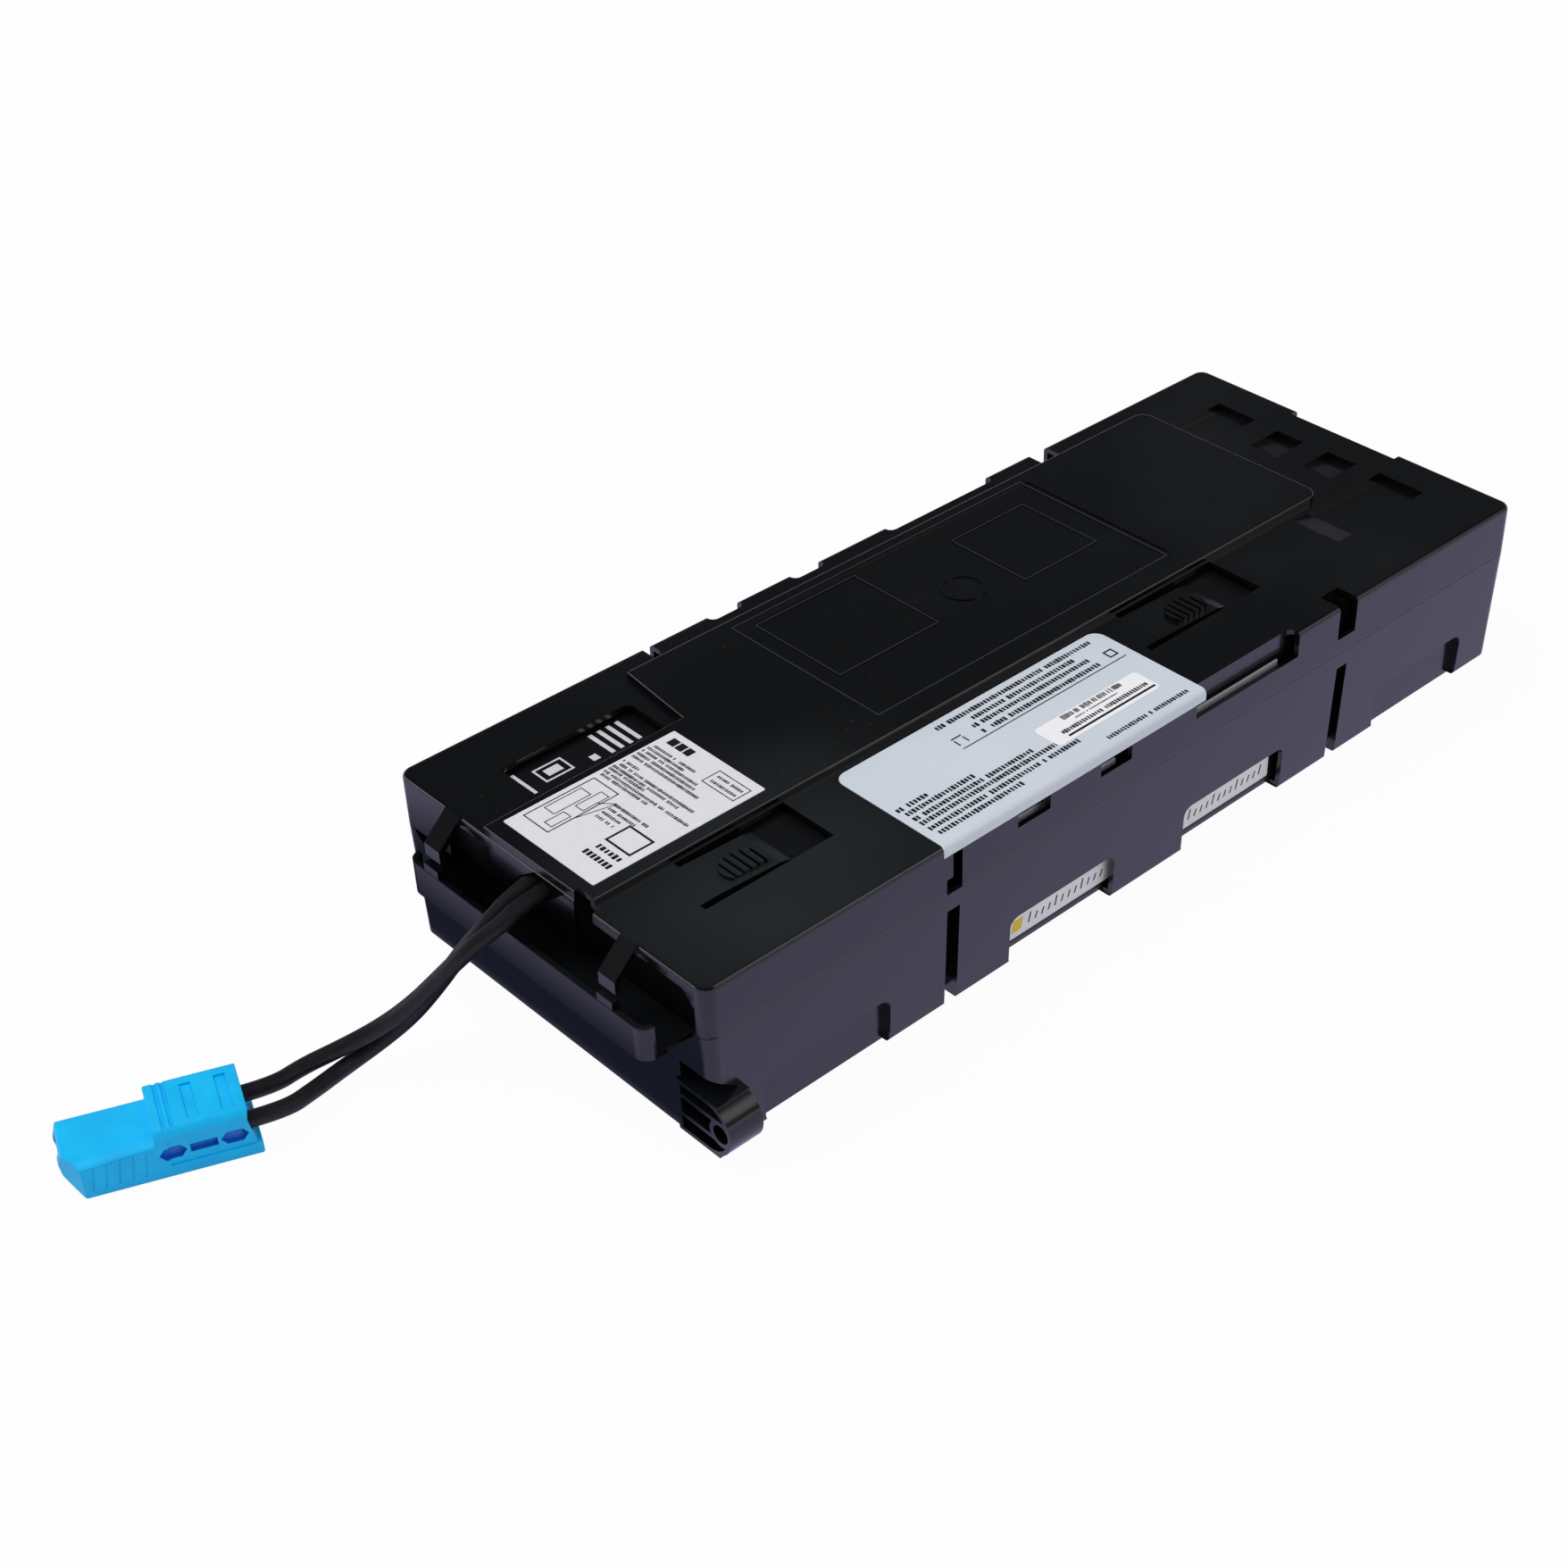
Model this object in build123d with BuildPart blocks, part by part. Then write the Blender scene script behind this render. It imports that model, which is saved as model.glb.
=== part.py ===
from build123d import *
import os
from math import atan, cos, degrees, pi, radians, sin, tan

# Battery cartridge for a rack backup power supply: a two-piece moulded case that holds four
# sealed lead-acid blocks in series, with two leads and a blue power connector at its front.
# Origin: middle of the case's underside. +X to the right, +Y to the back, +Z up.
# Sizes along Y are counted from the front face.

WIDTH = 163.0
LENGTH = 422.0
PARTING = 50.0
DECK = 71.0
PLATEAU = 74.0
WALL = 2.0
CORNER = 5.0
INSET = 1.7
DRAFT = degrees(atan(INSET / PARTING))
FRONT = -LENGTH / 2
SIDE = WIDTH / 2
SIDES = (1, -1)

BLOCK_WIDTH = 151.0
BLOCK_THICK = 65.0
BLOCK_TALL = 93.0
BLOCK_STARTS = (11.0, 115.0, 220.0, 323.0)
LID_TALL = 9.0
GAP_FRONT = 109.5
GAP_BACK = 318.0
POLE_X = 60.0
POLE_HIGH = 54.0
POLE_LOW = 15.0
TAB_WIDTH = 6.35
TAB_THICK = 0.8
TAB_LONG = 6.0

CHANNEL_DEPTH = 8.0
CHANNEL_WIDTH = 6.0
CHANNELS = (109.0, 317.9)
CHANNEL_TOP = 43.5
RELIEF_TOP = 19.8
RELIEFS = ((23.5, 80.0), (344.0, 399.0))
WINDOWS = ((138.0, 192.0), (230.0, 287.0))
NOTCHES = ((139.5, 155.5), (181.0, 197.0), (231.5, 289.0))
NOTCH_SILL = 60.3
NOTCH_EDGE = 77.0

TROUGH_HALF = 63.5
TROUGH_FLOOR = 38.3
TROUGH_DEPTH = 11.5
LIP = 2.0

LUG_TOP = 24.0
LUG_ROUND = 11.0
LUG_DEPTH = 14.0
LUG_X = 79.0
BORE_X = 85.0
BORE_Z = 13.2
BORE_R = 3.6

LEAD_R = 3.0
WIRE_R = 1.8

PLUG_YAW = 71.0
PLUG_LONG = 56.5
PLUG_WIDE = 24.8
PLUG_GRIP = 26.0
PLUG_TALL = 16.5
PLUG_LOW = 12.3
ENTRY_APART = 13.0
ENTRY_Z = 7.4
ENTRY_DEEP = 4.0


def level(z):
    """Horizontal plane at height z, with its origin over the middle of the front edge."""
    return Plane(origin=(0, FRONT, z))


def facing_front(y):
    """Upright plane y behind the front face: X stays X and its second axis is height."""
    return Plane(origin=(0, FRONT + y, 0), x_dir=(1, 0, 0), z_dir=(0, -1, 0))


def facing_side(x):
    """Upright plane at x: its first axis runs back from the front face, its second is height."""
    return Plane(origin=(x, FRONT, 0), x_dir=(0, 1, 0), z_dir=(1, 0, 0))


def place(x, y, z):
    """A point given by its distance from the front face."""
    return Vector(x, FRONT + y, z)


def bend_radii(points, share=0.45):
    """The largest arc for each corner of a route that its two runs leave room for."""
    radii = []
    for before, corner, after in zip(points, points[1:], points[2:]):
        run_in = corner - before
        run_out = after - corner
        half_turn = radians(run_in.get_angle(run_out)) / 2
        radii.append(share * min(run_in.length, run_out.length) / tan(half_turn))
    return radii


# The tray: tapered walls, channels folded in between the blocks, stepped reliefs and windows
# along the lower edge, a cable trough across the front and a ribbed fixing lug at one corner.
with BuildPart() as bottom_tray:
    with BuildSketch(Plane.XY):
        RectangleRounded(WIDTH - 2 * INSET, LENGTH - 2 * INSET, CORNER - INSET)
    extrude(amount=PARTING, taper=-DRAFT)
    fillet(bottom_tray.faces().sort_by(Axis.Z)[0].edges(), 1.2)
    with BuildSketch(Plane.XY.offset(WALL)):
        RectangleRounded(WIDTH - 2 * (INSET + WALL), LENGTH - 2 * (INSET + WALL), 1.5)
    extrude(amount=PARTING, taper=-DRAFT, mode=Mode.SUBTRACT)

    # Inner walls behind the channels and the reliefs.
    with BuildSketch(level(WALL / 2)):
        with Locations(*[(side * (SIDE - 7.0), y) for side in SIDES for y in CHANNELS]):
            Rectangle(9.0, CHANNEL_WIDTH + 2.8)
    extrude(amount=CHANNEL_TOP)
    for side in SIDES:
        with BuildSketch(facing_side(side * 75.7)):
            for start, end in RELIEFS:
                with Locations(((start + end) / 2, RELIEF_TOP / 2 + 1.5)):
                    Rectangle(end - start + 3.0, RELIEF_TOP)
        extrude(amount=side * 3.0)

    # Trough floor, its lip with rounded returns, two catch straps and the screw boss.
    with BuildSketch(level(TROUGH_FLOOR - LIP)) as trough_outline:
        with Locations((0, -0.8)):
            Rectangle(2 * TROUGH_HALF, 2 * TROUGH_DEPTH - 1.6)
        fillet(trough_outline.vertices().group_by(Axis.Y)[0], CORNER)
    extrude(amount=LIP)
    with BuildSketch(level(TROUGH_FLOOR)) as lip_outline:
        with Locations((0, -0.8)):
            Rectangle(2 * TROUGH_HALF, 2 * TROUGH_DEPTH - 1.6)
        fillet(lip_outline.vertices().group_by(Axis.Y)[0], CORNER)
        offset(amount=-LIP, mode=Mode.SUBTRACT)
        with Locations((0, 10.0)):
            Rectangle(3 * TROUGH_HALF, 33.0, mode=Mode.SUBTRACT)
    extrude(amount=PARTING - TROUGH_FLOOR)
    with BuildSketch(level(TROUGH_FLOOR)):
        with Locations((-49.0, 1.5 - TROUGH_DEPTH), (44.6, 1.5 - TROUGH_DEPTH)):
            Rectangle(7.8, 3.0)
    extrude(amount=15.0)
    with BuildSketch(level(TROUGH_FLOOR)):
        with Locations((-31.5, -0.5)):
            Rectangle(10.5, 12.0)
            Rectangle(7.5, 9.0, mode=Mode.SUBTRACT)
    extrude(amount=5.5)

    # Front wall dropped to the trough's floor between sloping shoulders.
    with BuildSketch(facing_front(-1.0)):
        with BuildLine():
            Polyline(
                (-64, TROUGH_FLOOR), (64, TROUGH_FLOOR), (74.5, 48.6), (74.5, 51),
                (-74.5, 51), (-74.5, 48.6), close=True,
            )
        make_face()
    extrude(amount=-5.0, mode=Mode.SUBTRACT)

    # Lug: a closed boss inside the case and a rounded arm beside it.
    with BuildSketch(facing_front(0.2)):
        with Locations((72.0, LUG_TOP / 2 + 1.0)):
            Rectangle(17.0, LUG_TOP - 2.0)
    extrude(amount=-9.8)
    with BuildSketch(facing_front(0)):
        with Locations((LUG_X, 13.0)):
            Circle(LUG_ROUND)
        with Locations((LUG_X + 2.5, 13.0)):
            Rectangle(5.0, 2 * LUG_ROUND)
        with Locations((LUG_X - 12.0, 13.0)):
            Rectangle(24.0, 2 * LUG_ROUND + 2.0, mode=Mode.SUBTRACT)
    extrude(amount=-LUG_DEPTH)
    with BuildSketch(facing_front(0)):
        with Locations((71.5, 13.0)):
            Rectangle(15.0, 2 * LUG_ROUND)
    extrude(amount=-2.0)
    with BuildSketch(facing_front(0)):
        with Locations((LUG_X, 13.0)):
            Circle(LUG_ROUND - 1.6)
        with Locations((72.3, 13.0)):
            Rectangle(13.4, 2 * LUG_ROUND - 3.2)
        with Locations((75.0, 17.6), (75.0, 9.6)):
            Rectangle(34.0, 1.6, mode=Mode.SUBTRACT)
        with Locations((BORE_X, BORE_Z)):
            Circle(5.4, mode=Mode.SUBTRACT)
        with Locations((LUG_X + 9.0, 13.0)):
            Rectangle(6.0, 7.6, mode=Mode.SUBTRACT)
    extrude(amount=-8.0, mode=Mode.SUBTRACT)
    with BuildSketch(facing_front(-1.0)):
        with Locations((BORE_X, BORE_Z)):
            Circle(BORE_R)
    extrude(amount=-LUG_DEPTH - 2.0, mode=Mode.SUBTRACT)
    with BuildSketch(facing_side(65.5)):
        with BuildLine():
            Polyline((-1, LUG_TOP), (12, LUG_TOP), (-1, 33.8), close=True)
        make_face()
    extrude(amount=18.0, mode=Mode.SUBTRACT)

    # Channels, reliefs and windows are cut from both sides.
    for side in SIDES:
        with BuildSketch(facing_side(side * (SIDE - CHANNEL_DEPTH - 1.0))):
            for y in CHANNELS:
                with Locations((y, CHANNEL_TOP / 2 - 1.0)):
                    Rectangle(CHANNEL_WIDTH, CHANNEL_TOP)
        extrude(amount=side * 12.0, mode=Mode.SUBTRACT)
        with BuildSketch(facing_side(side * 76.9)) as reliefs:
            for start, end in RELIEFS:
                with Locations(((start + end) / 2, RELIEF_TOP / 2 - 1.0)):
                    Rectangle(end - start, RELIEF_TOP + 2.0)
            fillet(reliefs.vertices().group_by(Axis.Z)[-1], 5.0)
        extrude(amount=side * 6.0, mode=Mode.SUBTRACT)
        with BuildSketch(facing_side(side * 74.0)) as windows:
            for start, end in WINDOWS:
                with Locations(((start + end) / 2, RELIEF_TOP / 2 - 1.0)):
                    Rectangle(end - start, RELIEF_TOP + 2.0)
            fillet(windows.vertices().group_by(Axis.Z)[-1], 4.0)
        extrude(amount=side * 9.0, mode=Mode.SUBTRACT)
bottom_tray.part.label = "bottom_tray"


# The cover: a deck with a raised plateau that gives the leads their run, finger tabs, hooks
# over the trough, notches along both edges and pockets at the back.
TAB_X = 38.0
TAB_WIDE = 20.0
TABS = ((27.0, 66.0, 83.0), (241.0, 286.0, 303.0))
POCKETS = (
    (-45.0, 20.0, 346.0, 403.0),
    (-15.6, 13.8, 384.0, 402.0),
    (10.7, 14.5, 386.0, 403.0),
    (40.0, 22.0, 349.0, 404.0),
)
with BuildPart() as top_cover:
    with BuildSketch(Plane.XY.offset(PARTING)):
        RectangleRounded(WIDTH, LENGTH, CORNER)
    extrude(amount=DECK - PARTING)
    fillet(top_cover.faces().sort_by(Axis.Z)[-1].edges(), 2.0)
    with BuildSketch(level(DECK - 1.0)) as plateau_outline:
        with BuildLine():
            Polyline(
                (-32, 0.6), (24.5, 0.6), (24.5, 371), (-70, 371), (-70, 93), (-34, 89),
                close=True,
            )
        make_face()
        fillet(plateau_outline.vertices().group_by(Axis.Y)[-1], 6.0)
    extrude(amount=PLATEAU - DECK + 1.0)
    fillet(top_cover.faces().sort_by(Axis.Z)[-1].edges(), 1.0)

    with BuildSketch(Plane.XY.offset(PARTING)):
        RectangleRounded(WIDTH - 2 * WALL, LENGTH - 2 * WALL, CORNER - WALL)
    extrude(amount=DECK - PARTING - WALL, mode=Mode.SUBTRACT)
    with BuildSketch(level(DECK - WALL - 0.5)):
        with BuildLine():
            Polyline((-30, 2), (22.5, 2), (22.5, 369), (-68, 369), (-68, 95), (-30, 91), close=True)
        make_face()
    extrude(amount=PLATEAU - DECK + 0.5, mode=Mode.SUBTRACT)

    # Return flanges in the notches, walls behind the side slots, slabs under the pockets.
    for side in SIDES:
        with BuildSketch(facing_side(side * 75.8)):
            for start, end in NOTCHES:
                with Locations(((start + end) / 2, 66.5)):
                    Rectangle(end - start + 3.0, 7.0)
        extrude(amount=side * 1.2)
        with BuildSketch(facing_side(side * 70.0)):
            with Locations((GAP_FRONT, 63.5), (GAP_BACK, 63.5)):
                Rectangle(9.4, 13.0)
        extrude(amount=side * 1.5)
    with BuildSketch(level(67.3)):
        for x, wide, start, end in POCKETS:
            with Locations((x, (start + end) / 2)):
                Rectangle(wide + 3.0, end - start + 3.0)
    extrude(amount=2.0)
    with BuildSketch(level(PARTING + 1.0)):
        with Locations((-1.0, LENGTH - 5.2)):
            Rectangle(58.0, 1.2)
    extrude(amount=DECK - PARTING - 2.0)

    # Hooks that reach over the trough.
    for x in (-53.2, 40.5):
        with BuildSketch(facing_side(x)):
            with BuildLine():
                Polyline(
                    (2, 70.6), (0, 70.6), (-10, 61), (-10, 56), (-8, 56), (-8, 59.6), (0, 67.4),
                    (2, 67.4), close=True,
                )
            make_face()
        extrude(amount=8.4)

    # Openings of the front wall and the arch for the leads.
    with BuildSketch(facing_front(-1.0)):
        with BuildLine():
            Polyline(
                (-53.2, 49), (-53.2, 66.4), (-29.3, 66.4), (-29.3, 56), (-16.2, 60.2),
                (-12.6, 64.2), (-4.5, 70), (11.8, 70), (-2.7, 57.4), (0.3, 54.6), (16.5, 51),
                (16.5, 49), close=True,
            )
        make_face()
        with BuildLine():
            Polyline((26.3, 49), (26.3, 66.4), (70.5, 66.4), (76, 61), (76, 49), close=True)
        make_face()
    extrude(amount=-4.0, mode=Mode.SUBTRACT)
    with BuildSketch(facing_front(-1.0)):
        with Locations((21.4, 62.0)):
            Rectangle(9.8, 26.0)
    extrude(amount=-3.6, mode=Mode.SUBTRACT)

    # Edge notches and slots, on both sides.
    with BuildSketch(level(NOTCH_SILL)):
        for side in SIDES:
            for start, end in NOTCHES:
                with Locations((side * (NOTCH_EDGE + 10.0), (start + end) / 2)):
                    RectangleRounded(20.0, end - start, 3.0)
    extrude(amount=20.0, mode=Mode.SUBTRACT)
    for side in SIDES:
        with BuildSketch(facing_side(side * 71.5)):
            with BuildLine():
                Polyline(
                    (105.5, 49), (105.5, 56.4), (108.4, 56.4), (108.4, 75), (112.8, 75),
                    (112.8, 49), close=True,
                )
            make_face()
            with Locations((318.2, 56.3 + 10.0)):
                Rectangle(10.4, 20.0)
        extrude(amount=side * 12.0, mode=Mode.SUBTRACT)

    # Window left of the tongue, the openings round the finger tabs, and the back notch.
    with BuildSketch(level(DECK - WALL - 2.0)):
        with Locations((-45.0, 54.5)):
            RectangleRounded(24.0, 57.0, 2.0)
        for root, _, back in TABS:
            with Locations((TAB_X, (root + back) / 2 + 4.0)):
                Rectangle(TAB_WIDE + 5.6, back - root - 8.0)
            with Locations((TAB_X + TAB_WIDE / 2 + 1.4, root + 4.5)):
                Rectangle(2.8, 9.0)
    extrude(amount=5.0, mode=Mode.SUBTRACT)
    with BuildSketch(level(PARTING - 1.0)) as back_notch:
        with Locations((-1.0, LENGTH)):
            Rectangle(54.0, 9.0)
    extrude(amount=DECK, mode=Mode.SUBTRACT)

    # Sprung finger tabs, hinged at their front ends, with ribbed half-oval grips.
    for root, tip, _ in TABS:
        with BuildSketch(facing_side(TAB_X - TAB_WIDE / 2)):
            with BuildLine():
                Polyline(
                    (root, DECK), (root + 9.0, DECK), (tip - 4.0, 69.6), (tip, 68.6), (tip, 67.4),
                    (root, 69.0), close=True,
                )
            make_face()
        extrude(amount=TAB_WIDE)
        with BuildSketch(level(69.4)) as grip:
            with Locations((TAB_X + 3.5, tip - 15.0)):
                Ellipse(7.5, 9.0)
            with Locations((TAB_X + 11.5, tip - 15.0)):
                Rectangle(8.0, 20.0, mode=Mode.SUBTRACT)
            with Locations(*[(TAB_X, tip - 21.4 + 3.2 * row) for row in range(5)]):
                Rectangle(40.0, 1.1, mode=Mode.SUBTRACT)
        extrude(amount=2.4)

    # Pockets with ramped floors, deepest at the back.
    for x, wide, start, end in POCKETS:
        with BuildSketch(facing_side(x - wide / 2)):
            with BuildLine():
                Polyline(
                    (start, DECK + 0.1), (start + 0.2 * (end - start), 69.6), (end - 2.0, 68.5),
                    (end, 68.5), (end, DECK + 0.1), close=True,
                )
            make_face()
        extrude(amount=wide, mode=Mode.SUBTRACT)

    # Shallow panel and ring on the plateau.
    with BuildSketch(level(PLATEAU - 0.4)):
        with Locations((-24.5, 216.0)):
            RectangleRounded(77.0, 156.0, 2.0)
        with Locations((-25.0, 219.5)):
            Circle(9.0, mode=Mode.SUBTRACT)
            Circle(7.6)
    extrude(amount=1.0, mode=Mode.SUBTRACT)
top_cover.part.label = "top_cover"


# Sealed blocks lie on their long narrow sides. The first and third turn their poles back,
# the second and fourth forwards, so the poles meet in the two gaps at the side slots.
POLE_HEIGHTS = (POLE_HIGH, POLE_LOW, POLE_HIGH, POLE_LOW)
blocks = []
tabs = []
for number, (start, pole_z) in enumerate(zip(BLOCK_STARTS, POLE_HEIGHTS), 1):
    poles_back = number % 2 == 1
    foot = start if poles_back else start + BLOCK_TALL
    up = 1 if poles_back else -1
    with BuildPart() as block:
        with BuildSketch(facing_front(foot)):
            with Locations((0, WALL + BLOCK_THICK / 2)):
                RectangleRounded(BLOCK_WIDTH, BLOCK_THICK, 1.5)
        extrude(amount=-up * (BLOCK_TALL - LID_TALL - 0.8))
        with BuildSketch(facing_front(foot + up * (BLOCK_TALL - LID_TALL - 0.8))):
            with Locations((0, WALL + BLOCK_THICK / 2)):
                RectangleRounded(BLOCK_WIDTH - 1.4, BLOCK_THICK - 1.4, 1.0)
        extrude(amount=-up * 0.8)
        with BuildSketch(facing_front(foot + up * (BLOCK_TALL - LID_TALL))):
            with Locations((0, WALL + BLOCK_THICK / 2)):
                RectangleRounded(BLOCK_WIDTH, BLOCK_THICK, 1.5)
        extrude(amount=-up * LID_TALL)
    block.part.label = f"battery_{number}"
    blocks.append(block)
    pole_y = foot + up * BLOCK_TALL
    for side, word in ((-1, "left"), (1, "right")):
        with BuildPart() as tab:
            with BuildSketch(facing_front(pole_y)):
                with Locations((side * POLE_X, pole_z)):
                    Rectangle(TAB_WIDTH, TAB_THICK)
            extrude(amount=-up * TAB_LONG)
            with BuildSketch(level(pole_z - 1.0)):
                with Locations((side * POLE_X, pole_y + up * (TAB_LONG - 2.2))):
                    Circle(0.9)
            extrude(amount=2.0, mode=Mode.SUBTRACT)
        tab.part.label = f"terminal_{number}_{word}"
        tabs.append(tab)


def wire_route(points, radii, radius, label):
    """A round wire along straight runs joined by tangent arcs."""
    print(label, "radii", [round(value, 1) for value in radii])
    with BuildPart() as wire:
        with BuildLine() as route:
            FilletPolyline(*points, radius=radii)
        spine = route.wire()
        with BuildSketch(Plane(origin=spine @ 0, z_dir=spine % 0)):
            Circle(radius)
        sweep(path=spine)
    wire.part.label = label
    straight = pi * radius**2 * spine.length
    print(label, "length", round(spine.length, 1), "ratio", round(wire.part.volume / straight, 4))
    return wire


# The long wire runs from the second block to the third beneath the plateau, and the two leads
# from the arch end at the first and the last block. Two short wires stand in the gaps.
wires = []
RUN_Z = 69.6
POLE_REACH = POLE_X - 4.2
FRONT_LEAD_START = place(-2.4, 3, 62.5)
REAR_LEAD_START = place(-8.7, 3, 63.3)
link = wire_route(
    [
        place(POLE_REACH, GAP_FRONT, POLE_LOW), place(-20, GAP_FRONT, POLE_LOW),
        place(-20, GAP_FRONT, RUN_Z), place(-20, GAP_BACK, RUN_Z),
        place(-20, GAP_BACK, POLE_HIGH), place(-POLE_REACH, GAP_BACK, POLE_HIGH),
    ],
    [8.0, 4.5, 4.0, 8.0], WIRE_R, "jumper_2_3",
)
negative = wire_route(
    [
        FRONT_LEAD_START, place(-2.1, 5.85, 62.97), place(-2.6, 8.7, RUN_Z), place(10, 60, RUN_Z),
        place(10, GAP_FRONT, RUN_Z), place(10, GAP_FRONT, POLE_HIGH),
        place(POLE_REACH, GAP_FRONT, POLE_HIGH),
    ],
    [2.5, 3.0, 40.0, 4.0, 8.0], WIRE_R, "inner_lead_negative",
)
positive = wire_route(
    [
        REAR_LEAD_START, place(-8.35, 5.7, 64.29), place(-9.6, 9, RUN_Z),
        place(-9.6, GAP_BACK, RUN_Z),
        place(-9.6, GAP_BACK, POLE_LOW), place(-POLE_REACH, GAP_BACK, POLE_LOW),
    ],
    [2.5, 3.0, 4.0, 8.0], WIRE_R, "inner_lead_positive",
)
wires += [link, negative, positive]
for x, gap, label in ((-POLE_X, GAP_FRONT, "jumper_1_2"), (POLE_X, GAP_BACK, "jumper_3_4")):
    with BuildPart() as short_wire:
        with BuildSketch(level(POLE_LOW + 2.2)):
            with Locations((x, gap)):
                Circle(WIRE_R)
        extrude(amount=POLE_HIGH - POLE_LOW - 4.4)
    short_wire.part.label = label
    wires.append(short_wire)

# Insulated flag receptacles pushed over the tabs.
flags = []
for number, (start, pole_z) in enumerate(zip(BLOCK_STARTS, POLE_HEIGHTS), 1):
    poles_back = number % 2 == 1
    up = 1 if poles_back else -1
    pole_y = start + BLOCK_TALL if poles_back else start
    for side, word in ((-1, "left"), (1, "right")):
        with BuildPart() as flag:
            with BuildSketch(facing_front(pole_y + up * 0.4)):
                with Locations((side * POLE_X, pole_z)):
                    RectangleRounded(8.4, 4.4, 1.0)
                    Rectangle(TAB_WIDTH + 0.2, TAB_THICK + 0.2, mode=Mode.SUBTRACT)
            extrude(amount=-up * (TAB_LONG - 0.2))
            with BuildSketch(facing_front(pole_y + up * (TAB_LONG + 0.2))):
                with Locations((side * POLE_X, pole_z)):
                    RectangleRounded(8.4, 4.4, 1.0)
            extrude(amount=-up * 1.0)
        flag.part.label = f"receptacle_{number}_{word}"
        flags.append(flag)


# The connector lies on the surface that the case stands on, turned to the leads. Its own
# plane runs from the mating end to the cable end, and its second axis points to its left.
yaw = radians(PLUG_YAW)
PLUG = Plane(origin=place(-45.9, -155.9, 0), x_dir=(cos(yaw), sin(yaw), 0), z_dir=(0, 0, 1))
PLUG_MID = PLUG_WIDE / 2
PLUG_SIDE = Plane(origin=PLUG.origin, x_dir=PLUG.x_dir, z_dir=-PLUG.y_dir)
PLUG_END = Plane(
    origin=PLUG.from_local_coords(Vector(PLUG_LONG, 0, 0)), x_dir=PLUG.y_dir, z_dir=PLUG.x_dir,
)
PLUG_MOUTH = Plane(
    origin=PLUG.from_local_coords(Vector(-8, 0, 0)), x_dir=PLUG.y_dir, z_dir=PLUG.x_dir,
)
ENTRIES = (PLUG_MID + ENTRY_APART / 2, PLUG_MID - ENTRY_APART / 2)
with BuildPart() as connector_housing:
    with BuildSketch(PLUG_SIDE):
        with BuildLine():
            Polyline(
                (0.6, 0), (PLUG_LONG, 0), (PLUG_LONG, 12.5), (PLUG_LONG - 2, PLUG_TALL),
                (PLUG_GRIP, PLUG_TALL), (PLUG_GRIP, PLUG_LOW), (-5.0, PLUG_LOW), (-6.0, 9.0),
                (-0.6, 1.0), close=True,
            )
        make_face()
    extrude(amount=-PLUG_WIDE)
    sides = connector_housing.edges().filter_by(Plane(PLUG.origin, z_dir=PLUG.y_dir))
    fillet(sides.group_by(Axis.Z)[-1], 1.2)
    with BuildSketch(PLUG_MOUTH):
        with Locations((PLUG_MID, 6.6)):
            RectangleRounded(19.0, 8.6, 1.5)
    extrude(amount=22.0, mode=Mode.SUBTRACT)
    with BuildSketch(PLUG_END):
        for entry in ENTRIES:
            with Locations((entry, ENTRY_Z)):
                Circle(LEAD_R + 0.9)
    extrude(amount=-ENTRY_DEEP, mode=Mode.SUBTRACT)
    # Finger ridges across the grip and a sunk strip with three recesses on each side.
    with BuildSketch(PLUG.offset(PLUG_TALL - 0.9)):
        for reach, wide in ((3.0, 2.4), (6.6, 2.0), (14.5, 4.0), (23.5, 3.0)):
            with Locations((PLUG_GRIP + reach, PLUG_MID)):
                Rectangle(wide, 19.0)
    extrude(amount=2.0, mode=Mode.SUBTRACT)
    for reach in (0, PLUG_WIDE):
        inward = 1 if reach else -1
        with BuildSketch(PLUG_SIDE.offset(-reach)):
            with Locations((25.8, 8.2), (45.4, 8.2)):
                with BuildLine():
                    Polyline(
                        (-4.6, 0), (-2.6, 2.2), (2.6, 2.2), (4.6, 0), (2.6, -2.2), (-2.6, -2.2),
                        close=True,
                    )
                make_face()
            with Locations((35.7, 8.2)):
                Rectangle(8.6, 3.6)
        extrude(amount=inward * 1.4, mode=Mode.SUBTRACT)
        with BuildSketch(PLUG_SIDE.offset(-reach)):
            with Locations((39.0, 14.4), (40.0, 4.2)):
                Rectangle(30.0, 0.5)
        extrude(amount=inward * 0.5, mode=Mode.SUBTRACT)
connector_housing.part.label = "connector_housing"

contacts = []
for entry, word in zip(ENTRIES, ("negative", "positive")):
    with BuildPart() as contact:
        with BuildSketch(PLUG_MOUTH.offset(8.0)):
            with Locations((entry, 3.6)):
                RectangleRounded(5.4, 1.6, 0.4)
        extrude(amount=14.0)
    contact.part.label = f"contact_{word}"
    contacts.append(contact)


# The two leads leave the arch side by side and cross once on their way down to the connector.
def entry_point(entry, run):
    """A point on an entry's axis, run in front of the connector's cable end."""
    return PLUG.from_local_coords(Vector(PLUG_LONG + run, entry, ENTRY_Z))


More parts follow.
